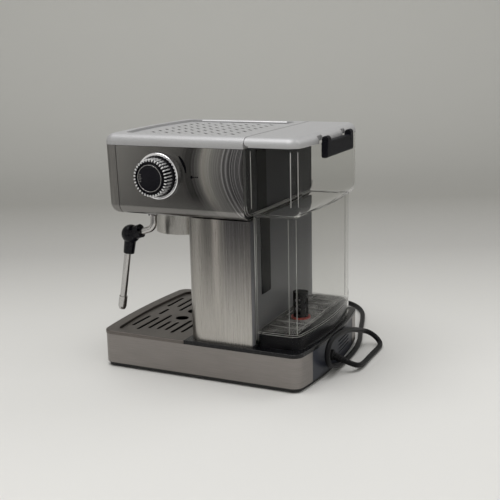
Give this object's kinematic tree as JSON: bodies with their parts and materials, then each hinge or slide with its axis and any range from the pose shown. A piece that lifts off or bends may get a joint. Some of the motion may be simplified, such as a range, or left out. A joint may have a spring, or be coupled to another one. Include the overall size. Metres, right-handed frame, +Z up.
{
  "type": "espresso machine",
  "caption": "Upright home espresso machine with a leaning steel head on a slim column, side steam knob and wand, drip tray base and clear rear water tank.",
  "frame": {"origin": "middle of the base's footprint, on the surface the machine stands on", "axes": "+Z up, -Y towards the front with the buttons and group, +Y towards the water tank, +X towards the steam knob and wand"},
  "size_m": [0.4204, 0.3312, 0.31],
  "materials": {
    "black_plastic": "satin",
    "slate_plastic": "satin",
    "gloss_black": "gloss",
    "clear_plastic": "clear gloss",
    "silver_paint": "satin metallic",
    "brushed_steel": "brushed",
    "dark_steel": "brushed",
    "screw_steel": "plain",
    "chrome": "polished",
    "cast_aluminium": "as cast",
    "brass": "machined",
    "rubber": "matte",
    "red_silicone": "matte",
    "clear_silicone": "satin",
    "board": "solder mask",
    "cord_rubber": "satin"
  },
  "bodies": {
    "chassis": {"base_pan": "black_plastic", "base_band": "brushed_steel", "base_rear_panel": "slate_plastic", "rubber_feet": "rubber", "base_top_frame": "dark_steel", "base_deck": "black_plastic", "base_screws": "screw_steel", "column_shell": "brushed_steel", "column_back_panel": "slate_plastic", "rear_duct_cover": "black_plastic", "head_shell": "brushed_steel", "front_panel": "brushed_steel", "head_bottom_cover": "black_plastic", "head_back_panel": "slate_plastic", "head_lid": "silver_paint", "cup_warmer_plate": "silver_paint", "group_shroud": "brushed_steel", "group_head": "cast_aluminium", "group_gasket": "rubber", "shower_screen": "brushed_steel", "shower_screw": "screw_steel", "boiler_lower": "cast_aluminium", "boiler_seal": "red_silicone", "boiler_upper": "cast_aluminium", "boiler_bolts": "screw_steel", "thermostats": "black_plastic", "steam_valve": "brass", "knob_bezel": "chrome", "wand_nut": "chrome", "wand_coupling": "brass", "pump_mounts": "rubber", "pump": "black_plastic", "inlet_hose": "clear_silicone", "pressure_hose": "clear_silicone", "steam_pipes": "brushed_steel", "control_board": "board", "tank_seat": "slate_plastic", "inlet_socket": "black_plastic", "inlet_seal": "red_silicone", "strain_relief": "cord_rubber", "power_cord": "cord_rubber", "power_plug": "cord_rubber"},
    "drip_tray_drawer": {"drip_tray": "black_plastic", "tray_fascia": "brushed_steel"},
    "drip_grid": {"drip_grid": "dark_steel"},
    "steam_knob": {"valve_stem": "brass", "steam_knob": "gloss_black", "knob_ribs": "chrome"},
    "steam_wand": {"wand_tube": "brushed_steel", "wand_grip": "gloss_black", "wand_tip": "brushed_steel"},
    "button_left": {"button_left": "gloss_black"},
    "button_middle": {"button_middle": "gloss_black"},
    "button_right": {"button_right": "gloss_black"},
    "water_tank": {"tank_shell": "clear_plastic", "tank_valve_body": "black_plastic", "tank_filter": "black_plastic"},
    "valve_plunger": {"valve_plunger": "black_plastic"},
    "tank_lid": {"tank_lid": "silver_paint"},
    "tank_handle": {"tank_handle": "gloss_black"}
  },
  "joints": [
    {"name": "drip_tray_slide", "type": "slide", "parent": "chassis", "child": "drip_tray_drawer", "axis": [0, -1, 0], "range_m": [0, 0.12]},
    {"name": "drip_grid_lift", "type": "slide", "parent": "chassis", "child": "drip_grid", "axis": [0, 0, 1], "range_m": [0, 0.018]},
    {"name": "steam_knob_turn", "type": "hinge", "parent": "chassis", "child": "steam_knob", "pos_m": [0.12, -0.045, 0.26], "axis": [1, 0, 0], "range_deg": [0, 150]},
    {"name": "steam_wand_swivel", "type": "hinge", "parent": "chassis", "child": "steam_wand", "pos_m": [0.072, -0.078, 0.205], "axis": [0, 0, 1], "range_deg": [-30, 60]},
    {"name": "tank_lift", "type": "slide", "parent": "chassis", "child": "water_tank", "axis": [0, 0, 1], "range_m": [0, 0.26]},
    {"name": "valve_plunger_slide", "type": "slide", "parent": "water_tank", "child": "valve_plunger", "axis": [0, 0, 1], "range_m": [0, 0.003], "stiffness_N_per_m": 60, "springref_m": -0.002},
    {"name": "tank_lid_hinge", "type": "hinge", "parent": "water_tank", "child": "tank_lid", "pos_m": [0, 0.077, 0.306], "axis": [1, 0, 0], "range_deg": [0, 85]},
    {"name": "tank_handle_fold", "type": "hinge", "parent": "water_tank", "child": "tank_handle", "pos_m": [0, 0.149, 0.303], "axis": [1, 0, 0], "range_deg": [0, 120]},
    {"name": "button_left_press", "type": "slide", "parent": "chassis", "child": "button_left", "axis": [0, 1, 0], "range_m": [0, 0.0015], "stiffness_N_per_m": 400, "springref_m": -0.001},
    {"name": "button_middle_press", "type": "slide", "parent": "chassis", "child": "button_middle", "axis": [0, 1, 0], "range_m": [0, 0.0015], "stiffness_N_per_m": 400, "springref_m": -0.001},
    {"name": "button_right_press", "type": "slide", "parent": "chassis", "child": "button_right", "axis": [0, 1, 0], "range_m": [0, 0.0015], "stiffness_N_per_m": 400, "springref_m": -0.001}
  ]
}
